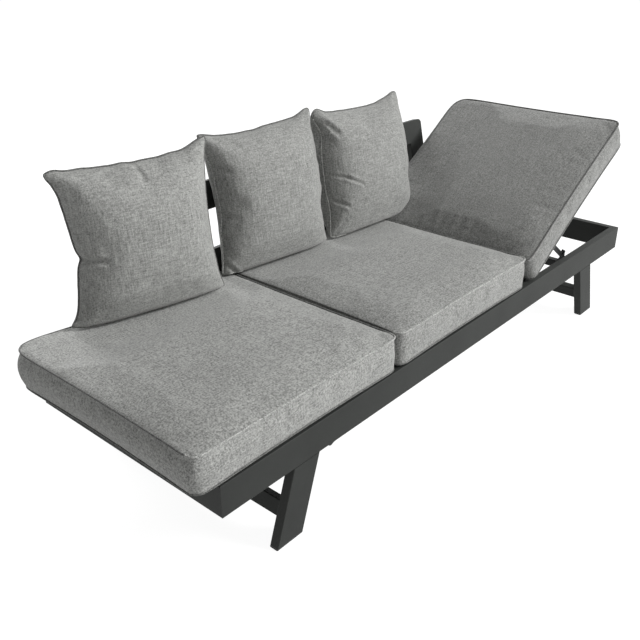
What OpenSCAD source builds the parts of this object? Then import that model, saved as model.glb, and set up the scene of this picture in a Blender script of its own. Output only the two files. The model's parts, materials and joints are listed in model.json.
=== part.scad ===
// Garden sofa with two end sections that tip up.
// Frame of flat aluminium tube, three seat cushions and three scatter pillows.
// Drawn with the front face of the frame at y = 0, the middle of the frame at x = 0
// and the floor at z = 0. Every node is then moved so that the origin lies
// on the floor under the middle of the whole sofa.

/* [Frame] */
// Length of the seat frame
frame_l = 1940; // [1600:10:2200]
// Depth of the seat frame
frame_d = 650; // [580:10:760]
// Height of the top of the rails
seat_z = 273; // [250:1:320]
// Height of the rails
rail_h = 80; // [70:1:90]
// Thickness of the flat tube that the frame is made of
tube_t = 25; // [20:1:30]
// Wall of the flat tube
tube_wall = 2; // [1.5:0.1:3]
// Outside radius along the edges of the tube
tube_r = 2.5; // [2:0.1:3]

/* [Legs] */
// Width of a leg, across its slope
leg_w = 80; // [60:1:90]
// Slope of a leg from upright
leg_splay = 18; // [10:1:22]
// Distance from the end of the frame to the outer edge of a leg, under the rail
leg_inset = 211; // [180:1:260]
// Height of the stretcher between a front and a back leg
stretcher_h = 40; // [30:1:50]
// Width of the stretcher
stretcher_w = 25; // [20:1:30]
// Distance of the stretcher's middle from the floor, along the leg
stretcher_up = 74; // [50:1:100]
// Offset of the stretcher's middle to the outer side of the leg
stretcher_out = 10; // [0:1:14]

/* [Feet] */
// Height of the plastic glide under a leg
foot_h = 6; // [4:0.5:9]
// Height of the narrower sole of the glide
foot_sole = 2; // [1:0.5:3]
// Step between the sole and the edge of the glide
foot_step = 1.5; // [1:0.1:2.5]
// Height of the plug that holds the glide in the leg
foot_plug = 16; // [8:1:24]

/* [Backrest] */
// Distance from the end of the frame to the backrest
back_inset = 285; // [230:5:400]
// Height of the backrest above the rail, along its slope
back_h = 351; // [320:1:400]
// Slope of the backrest from upright
back_lean = 12; // [6:1:16]
// Width of a backrest post and height of a backrest rail
back_tube_w = 80; // [60:1:90]
// Free height between the two backrest rails
back_gap = 113; // [80:1:130]
// Radius of the upper corners
back_corner_r = 20; // [8:1:30]
// Width of the bracket that joins a post to the back rail
bracket_w = 56; // [44:1:60]
// Thickness of that bracket
bracket_t = 5; // [3:0.5:6]
// Length of each leaf of that bracket
bracket_leaf = 64; // [52:1:70]

/* [End sections] */
// Tilt of the right section as it stands
right_tilt = 30; // [0:1:30]
// Size of the square tube of the sections and cross rails
section_tube = 25; // [20:1:26]
// Wall of that tube
section_wall = 1.5; // [1:0.1:2]
// Gap between a section and the frame around it
section_gap = 4; // [3:0.5:8]
// Gap between a section's rounded end and the hinge rail
hinge_play = 2.5; // [1.5:0.5:5]
// Radius of a hinge pin
hinge_pin_r = 5; // [4:0.5:6]
// Thickness of a hinge lug
hinge_lug_t = 5; // [4:0.5:8]
// Distance from the hinge line to the first cross tube of a section
hinge_tube_in = 17; // [16:0.5:24]

/* [Slats] */
// Width of a seat slat
slat_w = 50; // [40:1:60]
// Thickness of a seat slat
slat_t = 10; // [8:0.5:12]
// Wall of a seat slat
slat_wall = 1.2; // [1:0.1:1.5]
// Number of slats in the middle
middle_slat_count = 7; // [5:1:8]
// Number of slats in an end section
section_slat_count = 6; // [4:1:7]

/* [Rest bars] */
// Distance of a rest bar from the middle of the sofa
rest_x = 638; // [637:1:660]
// Height of the top of a rest bar
rest_top = 230; // [220:1:240]
// Radius of a rubber buffer on a rest bar
buffer_r = 10; // [7:0.5:12]

/* [Catch stays] */
// Distance from the hinge line to the stay's pivot on the section
stay_reach = 200; // [180:1:205]
// Drop of that pivot below the hinge line
stay_drop = 43; // [40:1:48]
// Length of the upper arm between its pivots
stay_arm = 93; // [84:1:98]
// Slope of the upper arm, which it keeps at every tilt
stay_slope = 36; // [33:1:38]
// Width of an arm
arm_w = 16; // [12:0.5:17]
// Thickness of an arm
arm_t = 4; // [3:0.25:4.5]
// Radius of an arm's plain eye
arm_eye_r = 10; // [9:0.5:11]
// Width of the pressed channel in an arm
channel_w = 6; // [4:0.5:8]
// Depth of the pressed channel
channel_depth = 1; // [0.5:0.1:1.5]
// Radius of the stay's pivot studs
stud_r = 4; // [3:0.25:4.5]
// Radius of the heads on the studs
stud_head_r = 7; // [6:0.25:8]
// Thickness of the heads on the studs
stud_head_t = 2.2; // [1.5:0.1:2.6]
// Number of teeth on the whole catch disc
catch_teeth = 36; // [24:12:48]
// Radius of the catch disc over the teeth
catch_r = 10; // [9:0.25:10.5]
// Depth of the catch teeth
tooth_depth = 1; // [0.6:0.1:1.2]
// Radius of the cover at the end of the upper arm
cover_r = 11; // [10.5:0.25:11.5]
// Reach of the pawl's housing from the elbow
pawl_reach = 18; // [16:0.5:20]
// Width of the pawl
pawl_w = 8; // [6:0.5:10]
// Thickness of the stay's bracket plate and lug
lug_t = 4; // [3:0.25:4.5]
// Length of the bracket plate on the rail
plate_l = 74; // [66:1:90]
// Height of the bracket plate on the rail
plate_h = 24; // [22:0.5:30]

/* [Screws] */
// Radius of a screw's shank
screw_r = 3; // [2.5:0.25:3.5]
// Radius of a screw's head
screw_head_r = 5.5; // [5:0.25:6.5]
// Height of a screw's head
screw_head_h = 2.8; // [2:0.1:3.4]
// Length of a screw's shank past what it holds
screw_tail = 8; // [5:0.5:12]

/* [Seat cushions] */
// Thickness of a seat cushion at its edge
cushion_t = 100; // [80:1:120]
// Rise of the crown over the edge
cushion_crown = 9; // [4:0.5:14]
// How far the middle of each side is drawn in
cushion_draw = 5; // [2:0.5:8]
// Corner radius of a seat cushion in plan
cushion_corner_r = 24; // [18:1:34]
// Rounding along the lower edge
cushion_edge_r = 13; // [10:0.5:16]
// Gap between neighbouring cushions
cushion_gap = 3; // [2:0.5:6]
// How far the cushions stand out in front of the frame
cushion_lip = 3; // [0:0.5:6]
// How far the left cushion leans out to the rear at its free upper corner
cushion_swell = 20; // [0:1:22]
// Radius of the piping along the seams
piping_r = 2.6; // [2:0.1:3.2]
// Distance of the upper seam from the edge of the upper face
upper_seam_in = 3; // [2.7:0.1:5]
// Distance of the lower seam from the lower face
lower_seam_in = 9; // [7:0.25:11]

/* [Pillows] */
// Width of a pillow
pillow_w = 418; // [380:1:425]
// Height of a pillow
pillow_h = 408; // [360:1:430]
// Thickness of a pillow
pillow_t = 150; // [110:1:156]
// How far the sides and the top of a pillow are drawn in
pillow_draw = 24; // [10:1:30]
// Corner radius of a pillow in plan
pillow_corner_r = 9; // [8:0.5:16]
// How deep a pillow settles on the seat, where it is flat
pillow_sink = 12; // [8:0.5:18]

/* [Hidden] */

// Colours
frame_grey = [0.27, 0.28, 0.28];
stay_black = [0.10, 0.10, 0.10];
plastic_black = [0.05, 0.05, 0.05];
screw_grey = [0.20, 0.20, 0.21];
fabric_grey = [0.62, 0.63, 0.61];

// Overrun of every cut
over = 1;
// Gap that a soft piece keeps from its neighbours
soft_gap = 0.3;
// Running gap between the flat faces of moving pieces
run_gap = 0.4;
// Radial clearance of a pin or stud in its hole
pin_clear = 0.06;
// Radial clearance of a glide's plug in its leg
plug_clear = 0.3;
// Smoothness of tube edges, small round parts and large round parts
edge_fn = 16;
small_fn = 20;
round_fn = 48;

// Frame, derived
rail_z = seat_z - rail_h;
half_l = frame_l / 2;
hinge_x = frame_l / 6;
hinge_z = seat_z - section_tube / 2;
inner_d = frame_d - 2 * tube_t;

// Legs, derived
leg_axis_x = half_l - leg_inset - leg_w / cos(leg_splay) / 2 + rail_z * tan(leg_splay);
leg_long = rail_z / cos(leg_splay) + leg_w;

// Backrest, derived
back_w = frame_l - 2 * back_inset;
back_foot_y = frame_d - tube_t / cos(back_lean);
post_inner = back_w / 2 - back_tube_w;
lower_rail_top = back_h - back_tube_w - back_gap;
screw_pitch = bracket_leaf / 2;

// Sections, derived: x runs outward from the hinge line, z up from it
section_l = half_l - tube_t - section_gap - hinge_x;
section_y = tube_t + section_gap;
section_inner_y = section_y + section_tube;
section_inner_d = frame_d - 2 * section_inner_y;
section_top = section_tube / 2;
end_tube_x = section_l - section_tube;
slats_x = hinge_tube_in + section_tube;
hinge_rail_x = hinge_x - section_tube / 2 - hinge_play - section_tube / 2;
lug_y = section_inner_y + run_gap;
pin_head_t = section_gap / 2;
pin_nut_r = hinge_pin_r * 1.7;
rest_z = rest_top - section_tube;

// Stay, derived: pivots B on the frame, C on the section and E at the elbow
stay_dx = stay_arm * cos(stay_slope);
stay_dz = -stay_arm * sin(stay_slope);
stay_long = norm([stay_reach, stay_drop]);
stay_sag = atan2(stay_drop, stay_reach);
lower_y = tube_t + lug_t + arm_t;
upper_y = lower_y + arm_t + run_gap;
section_lug_y = upper_y + arm_t + run_gap;
plate_low = min(plate_h / 2, hinge_z + stay_dz - rail_z - tube_r);

// Seat cushions, derived
cushion_l = frame_l / 3 - cushion_gap / 2;
cushion_d = frame_d - tube_t + cushion_lip;
cushion_y = cushion_d / 2 - cushion_lip;
cushion_base = section_top + soft_gap;
seam_rise = cushion_base + cushion_t - upper_seam_in;
middle_end_x = hinge_x - seam_rise * sin(right_tilt) - cushion_gap;
middle_cushion_x = middle_end_x - cushion_l / 2;
left_cushion_x = middle_cushion_x - cushion_l - cushion_gap;
seat_top = seat_z + soft_gap + cushion_t;
crown_power = 4;
arc_steps = 3;
side_steps = 8;
crown_shares = [0.94, 0.82, 0.64, 0.4, 0.16];
cushion_top_in_share = 0.45;
top_in = cushion_edge_r * cushion_top_in_share;
band_in = piping_r * 0.5;
swell_from_x = -back_w / 2 - left_cushion_x - soft_gap;
cushion_pulls = cushion_draw * [1, 1, 1, 1];

// Pillows, derived: left, middle and right. Places across are shares of a pillow's width,
// counted from the right end of the middle cushion.
pillow_x_shares = [-2.271, -1.204, -0.187];
pillow_y_shares = [0.912, 0.895, 0.85];
pillow_foot_shares = [0.17, 0.135, 0.005];
pillow_width_shares = [1, 0.925, 1];
pillow_yaws = [-13, -6, -2];
pillow_leans = [4.5, 12, 13];
pillow_rolls = [-1.5, 0, 0.5];
pillow_shares = [0.97, 0.9, 0.78, 0.6, 0.38, 0.16];
pillow_power = 2.5;
pillow_fullness = 0.5;
// Shares of the draw-in of the top, left, bottom and right sides
pillow_pull_shares = [[0.95, 2.2, 0.25, 0.6], [1.15, 1.1, 0.25, 0.3], [1.05, 0.45, 0.25, 0.25]];

// Place of the origin
overhang = max(0, -left_cushion_x + cushion_l / 2 - half_l);
back_reach = back_foot_y + back_h * sin(back_lean) + tube_t * cos(back_lean);
origin_x = -overhang / 2;
origin_y = (back_reach - cushion_lip) / 2;

module at_origin() { translate([-origin_x, -origin_y, 0]) children(); }

// The left half is the mirror image of the right half
module side(sign) { mirror([sign < 0 ? 1 : 0, 0, 0]) children(); }

// The rear half is the mirror image of the front half
module depth(rear) {
    translate([0, rear ? frame_d : 0, 0]) mirror([0, rear ? 1 : 0, 0]) children();
}

// Tubes

module rounded_rect(w, t, r) {
    square([w - 2 * r, t], center = true);
    square([w, t - 2 * r], center = true);
    for (x = [-1, 1], y = [-1, 1])
        translate([x * (w / 2 - r), y * (t / 2 - r)]) circle(r = r, $fn = edge_fn);
}

module tube_profile(w, t, wall) {
    difference() {
        rounded_rect(w, t, tube_r);
        square([w - 2 * wall, t - 2 * wall], center = true);
    }
}

// Tube along x, from x = 0, centred on its own axis: t is its size in y, h in z
module tube_x(l, t, h, wall) {
    rotate([90, 0, 90]) linear_extrude(l) tube_profile(t, h, wall);
}

// Tube along y, from y = 0, centred on its own axis: w is its size in x, h in z
module tube_y(l, w, h, wall) {
    translate([0, l, 0]) rotate([90, 0, 0]) linear_extrude(l) tube_profile(w, h, wall);
}

// Round bar along y
module rod_y(r, l, fn = small_fn) {
    translate([0, l, 0]) rotate([90, 0, 0]) cylinder(r = r, h = l, $fn = fn);
}

// Plate of thickness t along y, with its outline drawn in x and z
module plate_y(t) {
    translate([0, t, 0]) rotate([90, 0, 0]) linear_extrude(t) children();
}

// Seat frame: four rails, mitred at the corners

module long_rail() {
    intersection() {
        translate([-half_l, tube_t / 2, rail_z + rail_h / 2])
            tube_x(frame_l, tube_t, rail_h, tube_wall);
        linear_extrude(seat_z + over)
            polygon([[-half_l, 0], [half_l, 0], [half_l - tube_t, tube_t], [tube_t - half_l, tube_t]]);
    }
}

module end_rail() {
    intersection() {
        translate([half_l - tube_t / 2, 0, rail_z + rail_h / 2])
            tube_y(frame_d, tube_t, rail_h, tube_wall);
        linear_extrude(seat_z + over)
            polygon([[half_l, 0], [half_l, frame_d],
                     [half_l - tube_t, frame_d - tube_t], [half_l - tube_t, tube_t]]);
    }
}

// Screw holes for the two stay plates of a long rail, in its inner wall
module plate_holes() {
    for (s = [-1, 1], i = [-1, 1]) side(s)
        translate([stay_b_x() + i * plate_screw_x(), tube_t / 2, stay_b_z()])
            rod_y(screw_r, tube_t);
}

module front_rail() {
    color(frame_grey) difference() {
        long_rail();
        plate_holes();
    }
}

module back_rail() {
    color(frame_grey) difference() {
        depth(true) difference() {
            long_rail();
            plate_holes();
        }
        for (s = [-1, 1]) bracket_screws(s, false) rod_y(screw_r, tube_t / 2 + bracket_t);
    }
}

module left_end_rail() { color(frame_grey) side(-1) end_rail(); }
module right_end_rail() { color(frame_grey) end_rail(); }

// Legs, stretchers and feet

// Frame of reference of a leg: z runs up along the leg, x to the outer side
module leg_place() {
    translate([leg_axis_x, 0, 0]) rotate([0, -leg_splay, 0]) children();
}

module leg() {
    color(frame_grey) intersection() {
        leg_place() translate([0, tube_t / 2, -leg_w])
            linear_extrude(leg_long + leg_w) tube_profile(leg_w, tube_t, tube_wall);
        translate([0, -over, foot_h]) cube([frame_l, tube_t + 2 * over, rail_z - foot_h]);
    }
}

module front_left_leg() { side(-1) leg(); }
module front_right_leg() { leg(); }
module back_left_leg() { side(-1) depth(true) leg(); }
module back_right_leg() { depth(true) leg(); }

module stretcher() {
    color(frame_grey) leg_place() translate([stretcher_out, tube_t, stretcher_up])
        tube_y(inner_d, stretcher_w, stretcher_h, tube_wall);
}

module left_stretcher() { side(-1) stretcher(); }
module right_stretcher() { stretcher(); }

// One level of a foot: the leg's outline, drawn in by inset, between two heights
module foot_level(inset, low, high) {
    intersection() {
        leg_place() translate([0, tube_t / 2, -leg_w]) linear_extrude(2 * leg_w)
            rounded_rect(leg_w - 2 * inset, tube_t - 2 * inset, tube_r);
        translate([0, -over, low]) cube([frame_l, tube_t + 2 * over, high - low]);
    }
}

module foot() {
    color(plastic_black) {
        foot_level(foot_step, 0, foot_sole);
        foot_level(0, foot_sole, foot_h);
        foot_level(tube_wall + plug_clear, foot_sole, foot_h + foot_plug);
    }
}

module front_left_foot() { side(-1) foot(); }
module front_right_foot() { foot(); }
module back_left_foot() { side(-1) depth(true) foot(); }
module back_right_foot() { depth(true) foot(); }

// Cross rails, slats and rest bars

module cross_rail(x, z) {
    translate([x, tube_t, z]) tube_y(inner_d, section_tube, section_tube, section_wall);
}

// The hinge rail carries a welded lug beside each side tube of its section
module hinge_rail() {
    color(frame_grey) {
        cross_rail(hinge_rail_x, hinge_z);
        for (rear = [false, true]) depth(rear) translate([0, lug_y, 0]) difference() {
            plate_y(hinge_lug_t) {
                translate([hinge_rail_x + section_tube / 2, hinge_z - section_tube / 2])
                    square([hinge_play + section_tube / 2, section_tube]);
                translate([hinge_x, hinge_z]) circle(d = section_tube, $fn = round_fn);
            }
            translate([hinge_x, -over, hinge_z])
                rod_y(hinge_pin_r + pin_clear, hinge_lug_t + 2 * over, round_fn);
        }
    }
}

module left_hinge_rail() { side(-1) hinge_rail(); }
module right_hinge_rail() { hinge_rail(); }

module middle_cross_rail() {
    color(frame_grey) cross_rail(0, seat_z - slat_t - section_tube / 2);
}

// Slats along x from x = 0, set evenly between y = 0 and y = d, their tops at z = 0
module slats(count, l, d) {
    gap = (d - count * slat_w) / (count + 1);
    for (i = [0:count - 1])
        translate([0, gap + slat_w / 2 + i * (slat_w + gap), -slat_t / 2])
            tube_x(l, slat_w, slat_t, slat_wall);
}

module middle_slats() {
    x = hinge_rail_x - section_tube / 2;
    color(frame_grey) translate([-x, tube_t, seat_z]) slats(middle_slat_count, 2 * x, inner_d);
}

module rest_bar() { color(frame_grey) cross_rail(rest_x, rest_z + section_tube / 2); }

module left_rest_bar() { side(-1) rest_bar(); }
module right_rest_bar() { rest_bar(); }

module rest_buffers() {
    h = seat_z - section_tube - rest_top - soft_gap;
    color(plastic_black) for (s = [-1, 1], rear = [false, true])
        side(s) depth(rear) translate([rest_x, section_y + section_tube / 2, rest_top])
            cylinder(r = buffer_r, h = h, $fn = small_fn);
}

// Backrest: z runs up along its slope from the back rail, y through its thickness

module back_place() {
    translate([0, back_foot_y, seat_z]) rotate([-back_lean, 0, 0]) children();
}

// Outline of the backrest in x and z, drawn in by inset, with its round upper corners
module back_outline(inset) {
    w = back_w / 2 - inset;
    h = back_h - inset;
    r = back_corner_r - inset;
    translate([-w, -back_tube_w]) square([2 * w, h - r + back_tube_w]);
    translate([r - w, -back_tube_w]) square([2 * (w - r), h + back_tube_w]);
    for (s = [-1, 1]) translate([s * (w - r), h - r]) circle(r = r, $fn = round_fn);
}

// Half of the backrest's tube: the post below the mitre, or the top rail above it
module post_area() {
    polygon([[post_inner, -back_tube_w], [back_w / 2, -back_tube_w],
             [back_w / 2, back_h], [post_inner, back_h - back_tube_w]]);
}

module top_rail_area() {
    polygon([[-post_inner, back_h - back_tube_w], [post_inner, back_h - back_tube_w],
             [back_w / 2, back_h], [-back_w / 2, back_h]]);
}

module back_post() {
    color(frame_grey) difference() {
        intersection() {
            back_place() difference() {
                intersection() {
                    translate([back_w / 2 - back_tube_w / 2, tube_t / 2, -back_tube_w])
                        linear_extrude(back_h + back_tube_w)
                            rounded_rect(back_tube_w, tube_t, tube_r);
                    plate_y(tube_t) intersection() { post_area(); back_outline(0); }
                }
                intersection() {
                    translate([post_inner + tube_wall, tube_wall, -back_tube_w])
                        cube([back_tube_w - 2 * tube_wall, tube_t - 2 * tube_wall,
                              back_h + back_tube_w]);
                    plate_y(tube_t) back_outline(tube_wall);
                }
            }
            translate([0, 0, seat_z]) cube([back_w, 2 * frame_d, 2 * back_h]);
        }
        bracket_screws(1, true) rod_y(screw_r, tube_t / 2 + bracket_t);
    }
}

module back_left_post() { side(-1) back_post(); }
module back_right_post() { back_post(); }

module back_top_rail() {
    color(frame_grey) back_place() difference() {
        intersection() {
            translate([-back_w / 2, tube_t / 2, back_h - back_tube_w / 2])
                rotate([90, 0, 90]) linear_extrude(back_w)
                    rounded_rect(tube_t, back_tube_w, tube_r);
            plate_y(tube_t) intersection() { top_rail_area(); back_outline(0); }
        }
        intersection() {
            translate([-back_w / 2, tube_wall, back_h - back_tube_w + tube_wall])
                cube([back_w, tube_t - 2 * tube_wall, back_tube_w - 2 * tube_wall]);
            plate_y(tube_t) back_outline(tube_wall);
        }
    }
}

module back_lower_rail() {
    color(frame_grey) back_place()
        translate([-post_inner, tube_t / 2, lower_rail_top - back_tube_w / 2])
            tube_x(2 * post_inner, tube_t, back_tube_w, tube_wall);
}

// Places of the two screws in one leaf of a bracket, each pointing at the frame
module bracket_screws(sign, upper) {
    x = sign * (back_w / 2 - back_tube_w / 2);
    for (i = [0.5, 1.5]) {
        if (upper)
            back_place() translate([x, tube_t + bracket_t, i * screw_pitch])
                mirror([0, 1, 0]) children();
        else
            translate([x, frame_d + bracket_t, seat_z - i * screw_pitch])
                mirror([0, 1, 0]) children();
    }
}

// Bent plate behind a post: one leaf on the back rail, one on the post
module back_bracket() {
    bend = bracket_t * tan(back_lean / 2);
    top = [bracket_leaf * sin(back_lean), bracket_leaf * cos(back_lean)];
    out = [bracket_t * cos(back_lean), -bracket_t * sin(back_lean)];
    color(stay_black) difference() {
        translate([back_w / 2 - back_tube_w / 2 - bracket_w / 2, frame_d, seat_z])
            rotate([90, 0, 90]) linear_extrude(bracket_w)
                polygon([[0, -bracket_leaf], [bracket_t, -bracket_leaf], [bracket_t, -bend],
                         top + out, top, [0, 0]]);
        bracket_screws(1, false) translate([0, -over, 0]) rod_y(screw_r, bracket_t + 2 * over);
        bracket_screws(1, true) translate([0, -over, 0]) rod_y(screw_r, bracket_t + 2 * over);
    }
}

module left_back_bracket() { side(-1) back_bracket(); }
module right_back_bracket() { back_bracket(); }

// Screws: button heads on the brackets and stay plates, each shank in its holes

module screw(grip) {
    translate([0, -screw_head_h, 0]) rod_y(screw_head_r, screw_head_h);
    rod_y(screw_r - pin_clear, grip + screw_tail);
}

module screws() {
    color(screw_grey) {
        for (s = [-1, 1], upper = [false, true])
            bracket_screws(s, upper) screw(bracket_t + tube_wall);
        for (s = [-1, 1], rear = [false, true], i = [-1, 1]) side(s) depth(rear)
            translate([stay_b_x() + i * plate_screw_x(), tube_t + lug_t, stay_b_z()])
                mirror([0, 1, 0]) screw(lug_t + tube_wall);
    }
}

// End sections: x runs outward from the hinge line and z up from it

module section_place(sign, tilt) {
    side(sign) translate([hinge_x, 0, hinge_z]) rotate([0, -tilt, 0]) children();
}

// Side tube with a round hinge block, a mitre at its outer end and the stay's lug under it
module side_tube() {
    color(frame_grey) {
        difference() {
            union() {
                intersection() {
                    translate([0, section_y + section_tube / 2, 0])
                        tube_x(section_l, section_tube, section_tube, section_wall);
                    translate([0, section_y, -section_tube]) linear_extrude(2 * section_tube)
                        polygon([[0, 0], [section_l, 0], [end_tube_x, section_tube],
                                 [0, section_tube]]);
                }
                translate([0, section_y, 0]) rod_y(section_tube / 2, section_tube, round_fn);
            }
            translate([0, section_y - over, 0])
                rod_y(hinge_pin_r + pin_clear, section_tube + 2 * over, round_fn);
        }
        translate([0, section_lug_y, 0]) plate_y(lug_t) stay_lug_area();
        translate([stay_reach, section_lug_y, -stay_drop]) mirror([0, 1, 0]) stud(arm_t);
    }
}

// The stay's lug, in x and z
module stay_lug_area() {
    foot = 2 * arm_eye_r;
    polygon([[stay_reach - foot, -section_top], [stay_reach + foot, -section_top],
             [stay_reach + arm_eye_r, -stay_drop], [stay_reach - arm_eye_r, -stay_drop]]);
    translate([stay_reach, -stay_drop]) circle(r = arm_eye_r, $fn = round_fn);
}

// Stud along y through an arm of thickness t, with its head beyond the arm
module stud(t) {
    rod_y(stud_r, t + 2 * run_gap, round_fn);
    translate([0, t + 2 * run_gap, 0]) rod_y(stud_head_r, stud_head_t);
}

module hinge_tube() {
    color(frame_grey) translate([hinge_tube_in + section_tube / 2, section_inner_y, 0])
        tube_y(section_inner_d, section_tube, section_tube, section_wall);
}

module end_tube() {
    color(frame_grey) intersection() {
        translate([end_tube_x + section_tube / 2, section_y, 0])
            tube_y(frame_d - 2 * section_y, section_tube, section_tube, section_wall);
        translate([0, 0, -section_tube]) linear_extrude(2 * section_tube)
            polygon([[section_l, section_y], [section_l, frame_d - section_y],
                     [end_tube_x, frame_d - section_inner_y], [end_tube_x, section_inner_y]]);
    }
}

module section_slats() {
    color(frame_grey) translate([slats_x, section_inner_y, section_top])
        slats(section_slat_count, end_tube_x - slats_x, section_inner_d);
}

module left_front_side_tube() { section_place(-1, 0) side_tube(); }
module left_rear_side_tube() { section_place(-1, 0) depth(true) side_tube(); }
module left_hinge_tube() { section_place(-1, 0) hinge_tube(); }
module left_end_tube() { section_place(-1, 0) end_tube(); }
module left_slats() { section_place(-1, 0) section_slats(); }
module right_front_side_tube() { section_place(1, right_tilt) side_tube(); }
module right_rear_side_tube() { section_place(1, right_tilt) depth(true) side_tube(); }
module right_hinge_tube() { section_place(1, right_tilt) hinge_tube(); }
module right_end_tube() { section_place(1, right_tilt) end_tube(); }
module right_slats() { section_place(1, right_tilt) section_slats(); }

// Hinge pins: a head beside the frame rail, a nut inside the lug
module hinge_pins() {
    reach = section_tube + run_gap + hinge_lug_t;
    color(screw_grey) for (s = [-1, 1], rear = [false, true])
        side(s) depth(rear) translate([hinge_x, section_y, hinge_z]) {
            rod_y(hinge_pin_r, reach, round_fn);
            translate([0, -pin_head_t - run_gap, 0]) rod_y(pin_nut_r, pin_head_t);
            translate([0, -run_gap - pin_head_t / 2, 0]) rod_y(hinge_pin_r, hinge_pin_r);
            translate([0, reach, 0]) rod_y(pin_nut_r, hinge_pin_r);
        }
}

// Catch stays: a four-sided linkage in which the upper arm keeps its slope and the
// lower arm turns with the section. The elbow carries a toothed disc and a pawl.

function stay_b_x() = hinge_x + stay_dx;
function stay_b_z() = hinge_z + stay_dz;
function plate_screw_x() = plate_l / 2 - screw_head_r - tube_r;

// Plate on the inner face of a long rail, with the stud of the lower pivot
module stay_plate() {
    color(stay_black) translate([stay_b_x(), tube_t, stay_b_z()]) {
        difference() {
            plate_y(lug_t) intersection() {
                rounded_rect(plate_l, plate_h, tube_r);
                translate([-plate_l, -plate_low]) square([2 * plate_l, plate_h + plate_low]);
            }
            for (i = [-1, 1]) translate([i * plate_screw_x(), -over, 0])
                rod_y(screw_r, lug_t + 2 * over);
        }
        rod_y(stud_head_r, lug_t + arm_t - run_gap);
        translate([0, lug_t + arm_t - run_gap, 0]) stud(arm_t);
    }
}

module left_front_stay_plate() { side(-1) stay_plate(); }
module left_rear_stay_plate() { side(-1) depth(true) stay_plate(); }
module right_front_stay_plate() { stay_plate(); }
module right_rear_stay_plate() { depth(true) stay_plate(); }

// Toothed disc in x and z
module catch_disc() {
    step = 180 / catch_teeth;
    polygon([for (i = [0:2 * catch_teeth - 1])
             (catch_r - (i % 2) * tooth_depth) * [cos(i * step), sin(i * step)]]);
}

// Lower arm: x runs from its pivot on the frame to the elbow
module lower_arm_flat() {
    difference() {
        plate_y(arm_t) {
            circle(r = arm_eye_r, $fn = round_fn);
            translate([0, -arm_w / 2]) square([stay_long, arm_w]);
            translate([stay_long, 0]) catch_disc();
        }
        translate([0, -over, 0]) rod_y(stud_r + pin_clear, arm_t + 2 * over, round_fn);
        translate([arm_eye_r + channel_w, -over, -channel_w / 2])
            cube([stay_long - 2 * arm_eye_r - catch_r, channel_depth + over, channel_w]);
    }
    translate([stay_long, arm_t / 2, 0]) stud(arm_t * 1.5);
}

// Upper arm: x runs from its pivot on the section to the elbow
module upper_arm_flat() {
    difference() {
        plate_y(arm_t) {
            circle(r = arm_eye_r, $fn = round_fn);
            translate([0, -arm_w / 2]) square([stay_arm, arm_w]);
            translate([stay_arm, 0]) circle(r = cover_r, $fn = round_fn);
            translate([stay_arm - cover_r, 0]) square([2 * cover_r, pawl_reach]);
        }
        translate([0, -over, 0]) rod_y(stud_r + pin_clear, arm_t + 2 * over, round_fn);
        translate([stay_arm, -over, 0]) rod_y(stud_r + pin_clear, arm_t + 2 * over, round_fn);
        translate([arm_eye_r + channel_w, -over, -channel_w / 2])
            cube([stay_arm - 2 * arm_eye_r - cover_r, channel_depth + over, channel_w]);
    }
    pawl();
}

// Pawl under the housing of the upper arm: its two teeth stand over the catch disc
module pawl() {
    translate([stay_arm, -arm_t, 0]) plate_y(arm_t) difference() {
        translate([-pawl_w / 2, catch_r - tooth_depth]) square([pawl_w, pawl_reach - catch_r + tooth_depth]);
        circle(r = catch_r + run_gap, $fn = round_fn);
    }
}

// The arms in the stay's own planes, at the tilt of their section
module lower_arm(tilt) {
    color(stay_black) translate([stay_b_x(), lower_y, stay_b_z()])
        rotate([0, stay_sag - tilt, 0]) lower_arm_flat();
}

module upper_arm(tilt) {
    c = [hinge_x + stay_long * cos(tilt - stay_sag), hinge_z + stay_long * sin(tilt - stay_sag)];
    color(stay_black) translate([c[0], upper_y, c[1]]) rotate([0, stay_slope, 0]) upper_arm_flat();
}

module left_front_lower_arm() { side(-1) lower_arm(0); }
module left_rear_lower_arm() { side(-1) depth(true) lower_arm(0); }
module left_front_upper_arm() { side(-1) upper_arm(0); }
module left_rear_upper_arm() { side(-1) depth(true) upper_arm(0); }
module right_front_lower_arm() { lower_arm(right_tilt); }
module right_rear_lower_arm() { depth(true) lower_arm(right_tilt); }
module right_front_upper_arm() { upper_arm(right_tilt); }
module right_rear_upper_arm() { depth(true) upper_arm(right_tilt); }

// Soft forms: a closed skin over rings of points, from a lowest to a highest point

module skin(rings, low, high) {
    n = len(rings[0]);
    last = len(rings) - 1;
    points = concat([for (ring = rings) for (p = ring) p], [low, high]);
    sides = [for (i = [0:last - 1], j = [0:n - 1]) let (a = i * n + j, b = i * n + (j + 1) % n)
             each [[a, a + n, b + n], [a, b + n, b]]];
    ends = [for (j = [0:n - 1]) let (k = (j + 1) % n)
            each [[(last + 1) * n, j, k], [(last + 1) * n + 1, last * n + k, last * n + j]]];
    polyhedron(points, concat(sides, ends));
}

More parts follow.
